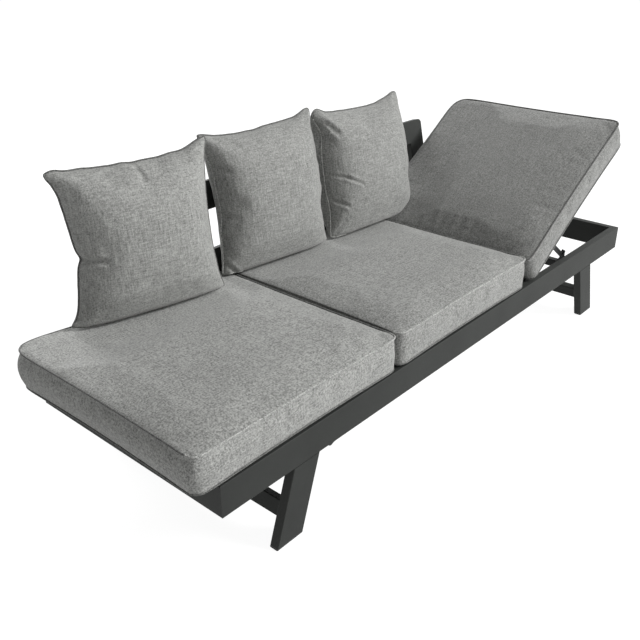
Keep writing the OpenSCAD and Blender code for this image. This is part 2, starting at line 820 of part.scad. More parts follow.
// Points along a rounded rectangle of half sizes l and d. The list pulls says how far its
// sides are drawn in: those of high y, low x, low y and high x.
function corner_points(x, y, r, a) =
    [for (i = [0:arc_steps]) [x, y] + r * [cos(a + 90 * i / arc_steps), sin(a + 90 * i / arc_steps)]];
function side_points(p, q, pull) =
    let (along = (q - p) / norm(q - p), inward = [-along[1], along[0]])
    [for (i = [1:side_steps - 1]) let (s = i / side_steps)
     p + (q - p) * s + inward * pull * 4 * s * (1 - s)];
function soft_outline(l, d, r, pulls) = concat(
    corner_points(l - r, d - r, r, 0), side_points([l - r, d], [r - l, d], pulls[0]),
    corner_points(r - l, d - r, r, 90), side_points([-l, d - r], [-l, r - d], pulls[1]),
    corner_points(r - l, r - d, r, 180), side_points([r - l, -d], [l - r, -d], pulls[2]),
    corner_points(l - r, r - d, r, 270), side_points([l, r - d], [l, d - r], pulls[3]));
function raised(points, z) = [for (p = points) [p[0], p[1], z]];
function dome(x, y, l, d) = (1 - pow(min(1, abs(x) / l), crown_power))
                          * (1 - pow(min(1, abs(y) / d), crown_power));

// Seat cushion on z = 0, centred in x and y. Its corner of low x and high y leans out to
// the rear by swell at the top, less towards its foot and towards the post of the backrest.
function swelled(points, swell) =
    [for (p = points) let (from = swell_from_x, l = cushion_l / 2, d = cushion_d / 2)
     [p[0], p[1] + swell * max(0, p[1]) / d * max(0, from - p[0]) / (from + l)]];
function cushion_ring(inset, z, swell) =
    raised(swelled(soft_outline(cushion_l / 2 - inset, cushion_d / 2 - inset,
                                cushion_corner_r - inset, cushion_pulls),
                   swell * z / cushion_t), z);
function crown_ring(share, swell) =
    [for (p = share * soft_outline(cushion_l / 2 - top_in, cushion_d / 2 - top_in,
                                   cushion_corner_r - top_in, cushion_pulls))
     let (q = swelled([p], swell)[0])
     [q[0], q[1], cushion_t + cushion_crown * dome(p[0], p[1], cushion_l / 2, cushion_d / 2)]];

module cushion(swell = 0) {
    rise = cushion_t / 2;
    upper_seam = cushion_t - upper_seam_in;
    color(fabric_grey) skin(concat(
        [cushion_ring(cushion_edge_r, 0, swell),
         cushion_ring(top_in, (lower_seam_in - piping_r) / 2, swell)],
        [for (i = [-1, 0, 1])
         cushion_ring(abs(i) * piping_r, lower_seam_in + i * piping_r, swell)],
        [cushion_ring(band_in, rise - lower_seam_in, swell), cushion_ring(band_in / 2, rise, swell),
         cushion_ring(band_in, rise + lower_seam_in, swell)],
        [for (i = [-1, 0, 1]) cushion_ring(abs(i) * piping_r, upper_seam + i * piping_r, swell)],
        [cushion_ring(top_in, cushion_t, swell)],
        [for (share = crown_shares) crown_ring(share, swell)]),
        [0, 0, 0], [0, 0, cushion_t + cushion_crown]);
}

module left_seat_cushion() {
    translate([left_cushion_x, cushion_y, seat_z + soft_gap]) cushion(cushion_swell);
}

module middle_seat_cushion() {
    translate([middle_cushion_x, cushion_y, seat_z + soft_gap]) cushion();
}

module right_seat_cushion() {
    section_place(1, right_tilt) translate([cushion_l / 2, cushion_y, cushion_base]) cushion();
}

// Pillow of width w: y runs up it and z out of its front. It is full in the middle and
// thins to a knife edge that is drawn in between the corners.
function drawn_share(x, half, y, long, pull) =
    min(1, abs(x) / (half - pull * max(0, 1 - pow(y / long, 2))));
function pillow_full(x, y, w, pulls) =
    let (a = drawn_share(x, w / 2, y, pillow_h / 2, x < 0 ? pulls[1] : pulls[3]),
         b = drawn_share(y, pillow_h / 2, x, w / 2, y < 0 ? pulls[2] : pulls[0]))
    pow((1 - pow(a, pillow_power)) * (1 - pow(b, pillow_power)), pillow_fullness);
function pillow_ring(share, w, pulls, face) =
    [for (p = share * soft_outline(w / 2, pillow_h / 2, pillow_corner_r, pulls))
     let (rise = (pillow_t / 2 - piping_r) * pillow_full(p[0], p[1], w, pulls))
     [p[0], p[1], face * (piping_r + rise)]];

module pillow_flat(w, pulls) {
    skin(concat([for (i = [len(pillow_shares) - 1:-1:0])
                 pillow_ring(pillow_shares[i], w, pulls, -1)],
                [pillow_ring(1, w, pulls, -1), pillow_ring(1, w, pulls, 1)],
                [for (share = pillow_shares) pillow_ring(share, w, pulls, 1)]),
         [0, 0, -pillow_t / 2], [0, 0, pillow_t / 2]);
}

// Places of pillow i, and the crown's highest point under it on the cushion centred on x
function pillow_x(i) = middle_end_x + pillow_w * pillow_x_shares[i];
function pillow_y(i) = cushion_d * pillow_y_shares[i] - cushion_lip
    - (i == 0 ? sin(-pillow_yaws[0]) * max(0, min(pillow_w / 2, back_w / 2 + pillow_x(0))) : 0);
function pillow_rest(i, x) = seat_top + soft_gap + cushion_crown
    * dome(max(0, abs(pillow_x(i) - x) - pillow_w / 2),
           pillow_y(i) - pillow_t * pillow_foot_shares[i] - cushion_y,
           cushion_l / 2, cushion_d / 2);

module pillow(i, cushion_x) {
    w = pillow_w * pillow_width_shares[i];
    rest = pillow_rest(i, cushion_x);
    color(fabric_grey) intersection() {
        translate([pillow_x(i), pillow_y(i), rest - pillow_sink])
            rotate([0, 0, pillow_yaws[i]]) rotate([-pillow_leans[i], 0, 0])
                rotate([0, pillow_rolls[i], 0]) translate([0, 0, pillow_h / 2])
                    rotate([90, 0, 0]) pillow_flat(w, pillow_draw * pillow_pull_shares[i]);
        translate([-frame_l, 0, rest]) cube([2 * frame_l, 2 * frame_d, 2 * pillow_h]);
    }
}

module left_pillow() { pillow(0, left_cushion_x); }

module middle_pillow() { pillow(1, middle_cushion_x); }

// The right pillow's lower right corner lies on the slope of the raised cushion
module right_pillow() {
    top = cushion_base + cushion_t + cushion_crown + soft_gap;
    color(fabric_grey) difference() {
        pillow(2, middle_cushion_x);
        section_place(1, right_tilt) translate([-cushion_t, 0, -cushion_l])
            cube([cushion_l + cushion_t, 2 * frame_d, cushion_l + top]);
    }
}

at_origin() front_rail();
at_origin() back_rail();
at_origin() left_end_rail();
at_origin() right_end_rail();
at_origin() front_left_leg();
at_origin() front_right_leg();
at_origin() back_left_leg();
at_origin() back_right_leg();
at_origin() left_stretcher();
at_origin() right_stretcher();
at_origin() front_left_foot();
at_origin() front_right_foot();
at_origin() back_left_foot();
at_origin() back_right_foot();
at_origin() left_hinge_rail();
at_origin() right_hinge_rail();
at_origin() middle_cross_rail();
at_origin() middle_slats();
at_origin() left_rest_bar();
at_origin() right_rest_bar();
at_origin() rest_buffers();
at_origin() back_left_post();
at_origin() back_right_post();
at_origin() back_top_rail();
at_origin() back_lower_rail();
at_origin() left_back_bracket();
at_origin() right_back_bracket();
at_origin() hinge_pins();
at_origin() screws();
at_origin() left_front_stay_plate();
at_origin() left_rear_stay_plate();
at_origin() right_front_stay_plate();
at_origin() right_rear_stay_plate();
at_origin() left_front_side_tube();
at_origin() left_rear_side_tube();
at_origin() left_hinge_tube();
at_origin() left_end_tube();
at_origin() left_slats();
at_origin() right_front_side_tube();
at_origin() right_rear_side_tube();
at_origin() right_hinge_tube();
at_origin() right_end_tube();
at_origin() right_slats();
at_origin() left_front_lower_arm();
at_origin() left_rear_lower_arm();
at_origin() left_front_upper_arm();
at_origin() left_rear_upper_arm();
at_origin() right_front_lower_arm();
at_origin() right_rear_lower_arm();
at_origin() right_front_upper_arm();
at_origin() right_rear_upper_arm();
at_origin() left_seat_cushion();
at_origin() middle_seat_cushion();
at_origin() right_seat_cushion();
at_origin() left_pillow();
at_origin() middle_pillow();
at_origin() right_pillow();
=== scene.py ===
import json
import math

import bmesh
import bpy
from mathutils import Matrix, Vector, noise
from mathutils.bvhtree import BVHTree


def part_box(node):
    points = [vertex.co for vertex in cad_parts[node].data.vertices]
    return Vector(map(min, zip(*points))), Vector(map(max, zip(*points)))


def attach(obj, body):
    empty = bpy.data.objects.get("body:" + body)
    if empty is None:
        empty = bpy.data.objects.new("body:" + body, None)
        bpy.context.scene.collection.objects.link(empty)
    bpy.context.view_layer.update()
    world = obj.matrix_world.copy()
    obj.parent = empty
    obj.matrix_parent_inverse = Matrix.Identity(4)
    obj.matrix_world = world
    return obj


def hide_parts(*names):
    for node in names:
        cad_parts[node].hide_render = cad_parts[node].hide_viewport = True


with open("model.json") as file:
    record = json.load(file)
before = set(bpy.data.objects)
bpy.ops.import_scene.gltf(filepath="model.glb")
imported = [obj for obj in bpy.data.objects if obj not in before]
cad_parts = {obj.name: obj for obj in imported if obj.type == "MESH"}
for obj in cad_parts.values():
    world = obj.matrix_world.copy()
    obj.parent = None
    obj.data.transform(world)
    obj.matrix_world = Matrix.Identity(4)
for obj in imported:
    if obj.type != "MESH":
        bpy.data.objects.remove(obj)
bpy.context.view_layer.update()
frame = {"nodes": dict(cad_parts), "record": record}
NODES = frame["nodes"]
SCENE = bpy.context.scene
MM = 0.001

# Sizes repeated from the part's source. ORIGIN is the row's origin in the frame that the
# photograph was measured in, where the front rail's face is at y 0.
ORIGIN = Vector((-28.95 * MM, 359.436 * MM, 0))
HINGE = Vector((323.333 * MM, 0, 260.5 * MM)) - ORIGIN
TILT = math.radians(30)
CUSHION_L, CUSHION_D, CUSHION_T = 645.17 * MM, 628 * MM, 100 * MM
CUSHION_R, CUSHION_PULL, PIPING_R = 24 * MM, 5 * MM, 2.6 * MM
TOP_SEAM, LOW_SEAM = 97 * MM, 9 * MM
CUSHION_Y, MIDDLE_X, LEFT_X = 311 * MM, -57.15 * MM, -705.32 * MM
SEAT_BASE, BASE_OVER_HINGE = 273.3 * MM, 12.8 * MM
CAD_SWELL, SWELL_FROM = 20 * MM, 20 * MM
PILLOW_W, PILLOW_H, PILLOW_R, PILLOW_PULL = 418 * MM, 408 * MM, 9 * MM, 24 * MM
PILLOW_SINK = 12 * MM

# Length of each cloth simulation, in frames, and the distance at which points are merged
FRAMES = 20
MERGE = 0.00005


# Materials. Scales of noise are in waves for each metre, bumps and threads in metres.

COAT_BROAD, COAT_BUMP, ROUGH_SPREAD = 9.0, 0.0004, 0.16
PLASTIC_BROAD, PLASTIC_FINE, PLASTIC_BUMP = 30.0, 900.0, 0.0002
WEAVE_PITCH, WEAVE_TONE, WEAVE_HEIGHT, FLECK_HEIGHT = 0.0021, 0.02, 0.5, 0.8
THREAD_BEND, BEND_SCALE = 0.0011, 55.0
STREAK_ALONG, STREAK_ACROSS, STREAK_SCALE = 70, 900, 0.42
PATCH_SCALE, PATCH_TONE = 7.0, 0.06
CLOTH_BUMP, SAG_BUMP, SAG_SCALE = 0.0005, 0.006, 22.0
FABRIC_TONES = ((-0.14, 0.125), (-0.04, 0.225), (0.04, 0.288), (0.15, 0.40))
FABRIC_TINT = (0.99, 1.0, 0.96)


def new_material(name):
    m = bpy.data.materials.new(name)
    m.use_nodes = True
    tree = m.node_tree
    return m, tree, tree.nodes["Principled BSDF"]


def node(tree, kind, **values):
    n = tree.nodes.new(kind)
    for key, value in values.items():
        setattr(n, key, value)
    return n


def link(tree, a, b):
    tree.links.new(a, b)


def math_node(tree, op, a, b=None, clamp=False):
    n = node(tree, "ShaderNodeMath", operation=op, use_clamp=clamp)
    for i, v in enumerate((a, b)):
        if v is None:
            continue
        if isinstance(v, (int, float)):
            n.inputs[i].default_value = v
        else:
            link(tree, v, n.inputs[i])
    return n.outputs[0]


def noise_node(tree, vector, scale, detail=2.0, rough=0.5):
    n = node(tree, "ShaderNodeTexNoise")
    n.inputs["Scale"].default_value = scale
    n.inputs["Detail"].default_value = detail
    n.inputs["Roughness"].default_value = rough
    link(tree, vector, n.inputs["Vector"])
    return n.outputs["Fac"]


def ramp(tree, fac, stops):
    n = node(tree, "ShaderNodeValToRGB")
    e = n.color_ramp.elements
    while len(e) < len(stops):
        e.new(0.5)
    for item, (pos, col) in zip(e, stops):
        item.position = pos
        item.color = (*col, 1)
    link(tree, fac, n.inputs[0])
    return n.outputs[0]


def bump(tree, height, distance, strength, normal=None):
    n = node(tree, "ShaderNodeBump")
    n.inputs["Distance"].default_value = distance
    n.inputs["Strength"].default_value = strength
    link(tree, height, n.inputs["Height"])
    if normal is not None:
        link(tree, normal, n.inputs["Normal"])
    return n.outputs[0]


def coated_metal(name, colour, rough, grain):
    """Powder coat: grain is the scale of its fine texture."""
    m, tree, shader = new_material(name)
    co = node(tree, "ShaderNodeTexCoord").outputs["Object"]
    broad = noise_node(tree, co, COAT_BROAD, 3.0)
    fine = noise_node(tree, co, grain, 2.0, 0.6)
    low = tuple(c * 0.88 for c in colour)
    high = tuple(c * 1.12 for c in colour)
    link(tree, ramp(tree, broad, [(0.3, low), (0.7, high)]), shader.inputs["Base Color"])
    rough_out = math_node(tree, "MULTIPLY_ADD", fine, ROUGH_SPREAD)
    rough_out.node.inputs[2].default_value = rough - ROUGH_SPREAD / 2
    link(tree, rough_out, shader.inputs["Roughness"])
    link(tree, bump(tree, fine, COAT_BUMP, 0.35), shader.inputs["Normal"])
    shader.inputs["Specular IOR Level"].default_value = 0.2
    return m


def plastic(name, colour, rough):
    m, tree, shader = new_material(name)
    co = node(tree, "ShaderNodeTexCoord").outputs["Object"]
    fine = noise_node(tree, co, PLASTIC_FINE, 2.0, 0.6)
    broad = noise_node(tree, co, PLASTIC_BROAD)
    low = tuple(c * 0.8 for c in colour)
    high = tuple(c * 1.2 for c in colour)
    link(tree, ramp(tree, broad, [(0.35, low), (0.65, high)]), shader.inputs["Base Color"])
    shader.inputs["Roughness"].default_value = rough
    link(tree, bump(tree, fine, PLASTIC_BUMP, 0.4), shader.inputs["Normal"])
    return m


def plane_weave(tree, a, b, pitch):
    """Height of a plain weave over the plane of two coordinates."""
    k = math.pi / pitch
    sa = math_node(tree, "SINE", math_node(tree, "MULTIPLY", a, k))
    sb = math_node(tree, "SINE", math_node(tree, "MULTIPLY", b, k))
    return math_node(tree, "MULTIPLY", sa, sb)


def streaked(tree, co):
    """Noise drawn out along each of the three thread directions."""
    total = None
    for axis in range(3):
        scale = [STREAK_ACROSS] * 3
        scale[axis] = STREAK_ALONG
        mp = node(tree, "ShaderNodeMapping")
        mp.inputs["Scale"].default_value = scale
        link(tree, co, mp.inputs["Vector"])
        n = noise_node(tree, mp.outputs[0], STREAK_SCALE, 1.0)
        total = n if total is None else math_node(tree, "ADD", total, n)
    return math_node(tree, "MULTIPLY", total, 1 / 3)


def woven(tree, co, normal):
    """Weave in the plane that each face lies nearest to."""
    xyz = node(tree, "ShaderNodeSeparateXYZ")
    link(tree, co, xyz.inputs[0])
    x, y, z = xyz.outputs
    facing = node(tree, "ShaderNodeSeparateXYZ")
    link(tree, normal, facing.inputs[0])
    total = None
    for axis, (a, b) in enumerate(((y, z), (x, z), (x, y))):
        w = math_node(tree, "POWER", math_node(tree, "ABSOLUTE", facing.outputs[axis]), 3.0)
        part = math_node(tree, "MULTIPLY", plane_weave(tree, a, b, WEAVE_PITCH), w)
        total = part if total is None else math_node(tree, "ADD", total, part)
    return total


def fabric(name, rotation, slub, grain, spread, light):
    """Heathered plain weave whose threads run along the cushion's own axes. slub is the
    share of the streaks along the threads, grain the scale of the flecks, spread the width
    of their ramp and light a factor on FABRIC_TONES, which paints light or shade into the
    colour."""
    m, tree, shader = new_material(name)
    tex = node(tree, "ShaderNodeTexCoord")
    turned = []
    for source, kind in ((tex.outputs["Object"], "POINT"), (tex.outputs["Normal"], "VECTOR")):
        mp = node(tree, "ShaderNodeMapping", vector_type=kind)
        mp.inputs["Rotation"].default_value = rotation
        link(tree, source, mp.inputs["Vector"])
        turned.append(mp.outputs[0])
    co, normal = turned
    bend = node(tree, "ShaderNodeVectorMath", operation="MULTIPLY_ADD")
    link(tree, noise_node(tree, co, BEND_SCALE, 2.0), bend.inputs[0])
    bend.inputs[1].default_value = [THREAD_BEND] * 3
    link(tree, co, bend.inputs[2])
    weave = woven(tree, bend.outputs[0], normal)
    streaks = streaked(tree, bend.outputs[0])
    patches = noise_node(tree, co, PATCH_SCALE, 3.0)
    fleck = noise_node(tree, co, grain, 3.0, 0.65)
    mix = math_node(tree, "ADD", math_node(tree, "MULTIPLY", streaks, slub),
                    math_node(tree, "MULTIPLY", fleck, 1 - slub))
    mix = math_node(tree, "ADD", mix, math_node(tree, "MULTIPLY", weave, WEAVE_TONE))
    mix = math_node(tree, "ADD", mix, math_node(tree, "MULTIPLY", patches, PATCH_TONE))
    stops = [(0.515 + at * spread, tuple(tone * part * light for part in FABRIC_TINT))
             for at, tone in FABRIC_TONES]
    link(tree, ramp(tree, mix, stops), shader.inputs["Base Color"])
    height = math_node(tree, "ADD", math_node(tree, "MULTIPLY", weave, WEAVE_HEIGHT),
                       math_node(tree, "MULTIPLY", fleck, FLECK_HEIGHT))
    soft = bump(tree, noise_node(tree, co, SAG_SCALE, 3.0), SAG_BUMP, 0.1)
    link(tree, bump(tree, height, CLOTH_BUMP, 0.75, soft), shader.inputs["Normal"])
    shader.inputs["Roughness"].default_value = 0.93
    shader.inputs["Specular IOR Level"].default_value = 0.18
    shader.inputs["Sheen Weight"].default_value = 0.25
    shader.inputs["Sheen Roughness"].default_value = 0.5
    return m


def cushion_fabric(name, turn, light):
    return fabric(name, (0, turn, 0), 0.42, 230.0, 0.75, light)


def piping_fabric(name, light):
    return fabric(name, (0, 0, 0), 0.3, 300.0, 0.6, light)


FRAME_MAT = coated_metal("powder_coat", (0.029, 0.031, 0.029), 0.6, 1400.0)
STAY_MAT = coated_metal("stay_coat", (0.02, 0.021, 0.021), 0.42, 900.0)
SCREW_MAT = coated_metal("screw_coat", (0.045, 0.046, 0.047), 0.35, 700.0)
FOOT_MAT = plastic("foot_plastic", (0.012, 0.012, 0.012), 0.55)
RUBBER_MAT = plastic("buffer_rubber", (0.015, 0.015, 0.015), 0.8)
THREAD_MAT = plastic("thread", (0.36, 0.36, 0.35), 0.8)
# Copies of one fabric with light and shade painted into the colour: the left cushion painted lighter,
# the middle one about even, the tipped one painted darker as the shade on its tilted top.
LEFT_FABRIC = cushion_fabric("fabric_left", 0, 1.16)
FLAT_FABRIC = cushion_fabric("fabric_flat", 0, 1.03)
TIPPED_FABRIC = cushion_fabric("fabric_tipped", TILT, 0.79)
# Two copies of the piping fabric with light and shade painted into the colour: the first much lighter
# as a painted highlight, the second much darker as painted shade.
LIT_PIPING = piping_fabric("fabric_piping", 1.35)
SHADED_PIPING = piping_fabric("fabric_piping_painted_shade", 0.5)

SLOT_MATS = {"frame_metal": FRAME_MAT, "stay_metal": STAY_MAT, "fastener_metal": SCREW_MAT,
             "foot_plastic": FOOT_MAT, "buffer_rubber": RUBBER_MAT, "cover_fabric": FLAT_FABRIC}
for sub in frame["record"]["subparts"]:
    for s in NODES[sub["node"]].material_slots:
        s.material = SLOT_MATS[sub["material_slot"]]


# Soft pieces

def mesh_object(name, verts, faces, material):
    me = bpy.data.meshes.new(name)
    me.from_pydata([tuple(v) for v in verts], [], faces)
    me.update()
    ob = bpy.data.objects.new(name, me)
    SCENE.collection.objects.link(ob)
    me.materials.append(material)
    for p in me.polygons:
        p.use_smooth = True
    return ob


def apply_all(ob):
    """Makes the result of an object's modifiers its mesh."""
    graph = bpy.context.evaluated_depsgraph_get()
    me = bpy.data.meshes.new_from_object(ob.evaluated_get(graph))
    ob.modifiers.clear()
    old = ob.data
    ob.data = me
    bpy.data.meshes.remove(old)


def local_copy(cad, name, to_local, voxel, shrink):
    """The CAD solid in the cushion's own frame, drawn in a little and remeshed."""
    me = NODES[cad].data.copy()
    me.transform(to_local)
    ob = bpy.data.objects.new(name, me)
    SCENE.collection.objects.link(ob)
    bm = bmesh.new()
    bm.from_mesh(me)
    bmesh.ops.remove_doubles(bm, verts=bm.verts, dist=MERGE)
    bm.normal_update()
    for v in bm.verts:
        v.co -= v.normal * shrink
    bm.to_mesh(me)
    bm.free()
    mod = ob.modifiers.new("remesh", "REMESH")
    mod.mode = "VOXEL"
    mod.voxel_size = voxel
    mod.use_smooth_shade = True
    apply_all(ob)
    return ob


def inflate(ob, pinned, pressure, grow, cap, calm, limit, fade=lambda p: 1.0):
    """Blows the cover up with cloth simulation. pinned gives the hold on a point, grow is
    the cloth's share of spare length, cap a point's greatest move and calm how often the
    moves are evened out. limit puts a point back in its room, and fade is the share of a
    point's move that stays."""
    group = ob.vertex_groups.new(name="pin")
    start = [v.co.copy() for v in ob.data.vertices]
    for v in ob.data.vertices:
        w = pinned(v.co)
        if w > 0:
            group.add([v.index], w, "REPLACE")
    mod = ob.modifiers.new("cloth", "CLOTH")
    cs = mod.settings
    cs.quality = 6
    cs.mass = 0.35
    cs.tension_stiffness = 15.0
    cs.compression_stiffness = 15.0
    cs.shear_stiffness = 5.0
    cs.bending_stiffness = 0.6
    cs.use_pressure = True
    cs.uniform_pressure_force = pressure
    cs.vertex_group_mass = "pin"
    cs.shrink_min = -grow
    cs.effector_weights.gravity = 0
    mod.collision_settings.use_collision = False
    mod.point_cache.frame_start = 1
    mod.point_cache.frame_end = FRAMES
    for f in range(1, FRAMES + 1):
        SCENE.frame_set(f)
    apply_all(ob)
    SCENE.frame_set(1)
    moves = [v.co - p for v, p in zip(ob.data.vertices, start)]
    moves = evened(ob.data, moves, calm)
    for v, p, d in zip(ob.data.vertices, start, moves):
        d *= fade(p)
        if d.length > cap:
            d *= cap / d.length
        v.co = limit(p + d)
    ob.vertex_groups.clear()


def evened(me, moves, steps):
    """Averages each point's move with its neighbours', so that only broad folds stay."""
    near = [[] for _ in moves]
    for e in me.edges:
        a, b = e.vertices
        near[a].append(b)
        near[b].append(a)
    for _ in range(steps):
        moves = [(m + sum((moves[j] for j in n), Vector()) / len(n)) / 2 if n else m
                 for m, n in zip(moves, near)]
    return moves


def subdivide(ob):
    mod = ob.modifiers.new("subdivision", "SUBSURF")
    mod.levels = mod.render_levels = 1
    apply_all(ob)


def outline(l, d, r, pulls, arc=6, steps=40):
    """Points round a rectangle with round corners and drawn-in sides, anticlockwise.
    The pulls are those of the sides of high y, low x, low y and high x."""
    pts = []
    corners = [(l - r, d - r, 0), (r - l, d - r, 90), (r - l, r - d, 180), (l - r, r - d, 270)]
    ends = [((l - r, d), (r - l, d)), ((-l, d - r), (-l, r - d)),
            ((r - l, -d), (l - r, -d)), ((l, r - d), (l, d - r))]
    for (x, y, a0), (p, q), pull in zip(corners, ends, pulls):
        for i in range(arc + 1):
            a = math.radians(a0 + 90 * i / arc)
            pts.append(Vector((x + r * math.cos(a), y + r * math.sin(a))))
        p, q = Vector(p), Vector(q)
        along = (q - p).normalized()
        inward = Vector((-along.y, along.x))
        for i in range(1, steps):
            s = i / steps
            pts.append(p + (q - p) * s + inward * pull * 4 * s * (1 - s))
    return pts


def tube(name, points, radius, material, sides=8):
    """Round tube along a closed line of points."""
    n = len(points)
    verts, faces = [], []
    ref = None
    for i, p in enumerate(points):
        t = (points[(i + 1) % n] - points[i - 1]).normalized()
        if ref is None:
            ref = t.orthogonal().normalized()
        ref = (ref - t * ref.dot(t)).normalized()
        side = t.cross(ref)
        for k in range(sides):
            ang = 2 * math.pi * k / sides
            verts.append(p + (ref * math.cos(ang) + side * math.sin(ang)) * radius)
    # the last join is turned so that the ring meets itself without a twist
    last = verts[(n - 1) * sides]
    twist = min(range(sides), key=lambda k: (verts[k] - last).length)
    for i in range(n):
        j, turn = (i + 1, 0) if i < n - 1 else (0, twist)
        for k in range(sides):
            m = (k + 1) % sides
            faces.append((i * sides + k, i * sides + m,
                          j * sides + (m + turn) % sides, j * sides + (k + turn) % sides))
    return mesh_object(name, verts, faces, material)


def snapped(points, tree, lift):
    """Points moved onto a surface, then raised off it."""
    out = []
    for p in points:
        hit, nrm, _, _ = tree.find_nearest(p)
        out.append(hit + nrm * lift)
    return out


def relaxed(points, steps):
    """A closed line with its kinks evened out."""
    n = len(points)
    for _ in range(steps):
        points = [(points[i - 1] + points[i] * 2 + points[(i + 1) % n]) / 4 for i in range(n)]
    return points


def surface(ob):
    """Search tree of an object's faces."""
    bm = bmesh.new()
    bm.from_mesh(ob.data)
    tree = BVHTree.FromBMesh(bm)
    bm.free()
    return tree


def stitches(name, points, tree, long, gap, radius):
    """Thread that shows as short bars along a closed line on a surface. long is a bar's
    length and gap the space to the next."""
    verts, faces = [], []
    n = len(points)
    lengths = [(points[(i + 1) % n] - points[i]).length for i in range(n)]
    total, at, i, done = sum(lengths), 0.0, 0, 0.0
    while at + long < total:
        ends = []
        for target in (at, at + long):
            while done + lengths[i % n] < target:
                done += lengths[i % n]
                i += 1
            share = (target - done) / lengths[i % n]
            ends.append(points[i % n].lerp(points[(i + 1) % n], share))
        p, q = ends
        _, out, _, _ = tree.find_nearest((p + q) / 2)
        along = (q - p).normalized()
        side = along.cross(out).normalized() * radius
        up = out * radius
        base = len(verts)
        verts += [p, q]
        for c in (p.lerp(q, 0.25), p.lerp(q, 0.75)):
            verts += [c + side, c + up, c - side, c - up]
        for k in range(4):
            m = (k + 1) % 4
            faces += [(base, base + 2 + m, base + 2 + k), (base + 1, base + 6 + k, base + 6 + m),
                      (base + 2 + k, base + 2 + m, base + 6 + m, base + 6 + k)]
        at += long + gap
    return mesh_object(name, verts, faces, THREAD_MAT)


def piped(ob, lit):
    """Piping in two tones of painted light and shade: the painted highlight where lit says so of a
    face's middle, painted shade on the rest.
    """
    ob.data.materials.append(SHADED_PIPING)
    for face in ob.data.polygons:
        face.material_index = 0 if lit(face.center) else 1


def dressed(ob, material):
    ob.data.materials.clear()
    ob.data.materials.append(material)


def place(ob, matrix, body):
    """Moves a piece from its cushion's own frame to its place on a body."""
    ob.data.transform(matrix)
    ob.data.update()
    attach(ob, body)


def bell(t):
    return math.exp(-t * t)


def clamped(t):
    return max(0.0, min(1.0, t))


def waves(p, seed, layers):
    """Uneven height of a cover, from layers of noise with their depth, scale and shift."""
    height = 0.0
    for depth, scale, shift in layers:
        k = seed + shift
        height += depth * noise.noise(Vector((p.x * scale + k, p.y * scale - k, p.z * scale)))
    return height


# Seat cushions: x and y from the cushion's middle, z from its underside

# Copy of the solid: size of its grid and how far it is drawn in
CUSHION_VOXEL, CUSHION_SHRINK = 0.0065, 0.0008

# The hold on the underside and on the seams, and how deep a seam's hold goes
BASE_HOLD, SEAM_HOLD, SEAM_DEPTH = 0.004, 0.006, 0.012
CUSHION_PRESSURE, CUSHION_GROW, CUSHION_CAP, CUSHION_CALM = 3.0, 0.012, 0.012, 4

# How far the cover stays short of the solid's ends, and may pass its front, rear and top
END_ROOM, FRONT_ROOM, REAR_ROOM, CROWN = 0.0004, 0.004, 0.002, 0.0165

# The crown fades over PRESSED_OVER from here back, where the pillows press it flat
PRESSED_FROM, PRESSED_OVER = 0.07, 0.1

# Waves of the top, the dent along its seam, and the tuck below the seam
CUSHION_WAVES = ((0.0018, 5.0, 0), (0.0008, 14.0, 9))
CALM_EDGE, DENT, DENT_AT, DENT_WIDTH = 0.05, 0.0016, 0.009, 0.006
TUCK, SIDE_BAND = 0.0022, 0.02
TOP_SHARE = 0.9

# A free end's rear corner: how far its round reaches, and how round it is at the top
CORNER_REACH, CORNER_SHARE = 80 * MM, 0.75
LEFT_SWELL, RIGHT_SWELL = 44 * MM, 12 * MM
LEFT_END, RIGHT_END = (3 * MM, 7 * MM), (8 * MM, 3 * MM)

# LIT_BAND: how far back from the front the top piping gets its painted highlight
PIPING_LIFT, LIT_BAND = 0.0012, 0.03
PIPING_SHARES = {"top": 0.95, "low": 0.8}
STITCH_DROP, STITCH_LONG, STITCH_GAP, STITCH_R = 0.0085, 0.0055, 0.0032, 0.00055


